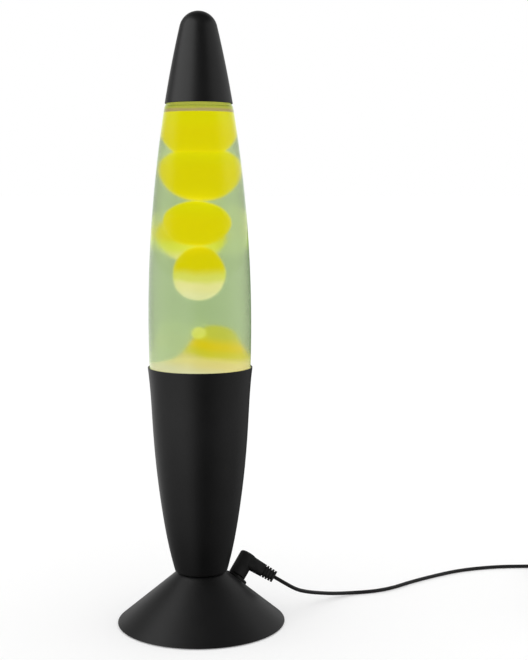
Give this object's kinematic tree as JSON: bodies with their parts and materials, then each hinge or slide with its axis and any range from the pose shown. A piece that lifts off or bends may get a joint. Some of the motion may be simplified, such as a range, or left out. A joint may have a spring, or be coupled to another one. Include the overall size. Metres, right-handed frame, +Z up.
{
  "type": "lava lamp",
  "caption": "Tall liquid-motion lamp: tapered glass bottle of green liquid and yellow wax between a black bullet cap and a black flared base, with plug-in supply.",
  "frame": {"origin": "on the lamp's axis, at the surface its rubber feet stand on", "axes": "+Z up along the lamp's axis, +X towards the side where the power lead runs off, +Y towards the back, where the power jack is turned"},
  "size_m": [0.3685, 0.1781, 0.4],
  "materials": {
    "black_metal": "matte black powder coat",
    "black_plastic": "fine moulded grain",
    "black_rubber": "soft matte",
    "cord_pvc": "satin vinyl",
    "bottle_glass": "clear, polished",
    "tinted_liquid": "clear green liquid",
    "wax": "smooth yellow wax",
    "crown_steel": "tinplate",
    "liner_rubber": "soft",
    "spring_steel": "drawn wire",
    "zinc_steel": "zinc plated",
    "silicone": "translucent silicone",
    "holder_ceramic": "unglazed steatite",
    "lead_sleeve": "braided glass sleeve",
    "nickel": "nickel plated brass",
    "bulb_glass": "clear pressed glass",
    "circuit_board": "solder mask",
    "transformer": "tape wound"
  },
  "bodies": {
    "base": {"upper_base": "black_metal", "bottle_seat": "zinc_steel", "seat_pads": "silicone", "foot": "black_metal", "waist_spacer": "black_plastic", "base_plate": "black_plastic", "rubber_feet": "black_rubber", "threaded_tube": "zinc_steel", "tube_washers": "zinc_steel", "tube_nuts": "zinc_steel", "lamp_bracket": "zinc_steel", "lamp_holder": "holder_ceramic", "holder_screws": "zinc_steel", "holder_nuts": "zinc_steel", "holder_lead_front": "lead_sleeve", "holder_lead_rear": "lead_sleeve", "jack_housing": "black_plastic", "jack_nut": "black_plastic", "jack_pin": "nickel", "jack_tags": "nickel"},
    "bulb": {"bulb_base": "holder_ceramic", "bulb_reflector": "bulb_glass", "bulb_front_glass": "bulb_glass", "bulb_capsule": "bulb_glass", "bulb_pins": "nickel"},
    "bottle": {"glass_bottle": "bottle_glass", "crown_liner": "liner_rubber", "crown_cap": "crown_steel", "liquid_fill": "tinted_liquid", "wax_top_mass": "wax", "wax_blob_upper": "wax", "wax_blob_middle": "wax", "wax_blob_rear": "wax", "wax_pool": "wax", "wax_spring": "spring_steel"},
    "wax_ball": {"wax_ball": "wax"},
    "wax_droplet": {"wax_droplet": "wax"},
    "cap": {"top_cap": "black_metal", "cap_foam_pad": "black_rubber"},
    "power_lead": {"plug_body": "black_rubber", "plug_barrel": "nickel", "plug_strain_relief": "black_rubber", "cord_run": "cord_pvc", "cord_coil": "cord_pvc", "cord_tail": "cord_pvc", "cord_tie": "cord_pvc", "adapter_case_front": "black_plastic", "adapter_case_back": "black_plastic", "pin_sleeves": "black_plastic", "mains_pins": "nickel", "adapter_board": "circuit_board", "adapter_transformer": "transformer", "adapter_strain_relief": "black_rubber"}
  },
  "joints": [
    {"name": "bottle_lift", "type": "slide", "parent": "base", "child": "bottle", "axis": [0, 0, 1], "range_m": [0, 0.03]},
    {"name": "cap_lift", "type": "slide", "parent": "bottle", "child": "cap", "axis": [0, 0, 1], "range_m": [0, 0.03]},
    {"name": "bulb_pull", "type": "slide", "parent": "base", "child": "bulb", "axis": [0, 0, 1], "range_m": [0, 0.012]},
    {"name": "wax_ball_drift", "type": "slide", "parent": "bottle", "child": "wax_ball", "axis": [0, 0, 1], "range_m": [-0.014, 0], "deforming": ["liquid_fill"]},
    {"name": "wax_droplet_drift", "type": "slide", "parent": "bottle", "child": "wax_droplet", "axis": [0, 0, 1], "range_m": [-0.01, 0.014], "deforming": ["liquid_fill"]},
    {"name": "plug_pull", "type": "slide", "parent": "base", "child": "power_lead", "axis": [0.4928, 0.4135, 0.7656], "range_m": [0, 0.01]}
  ]
}
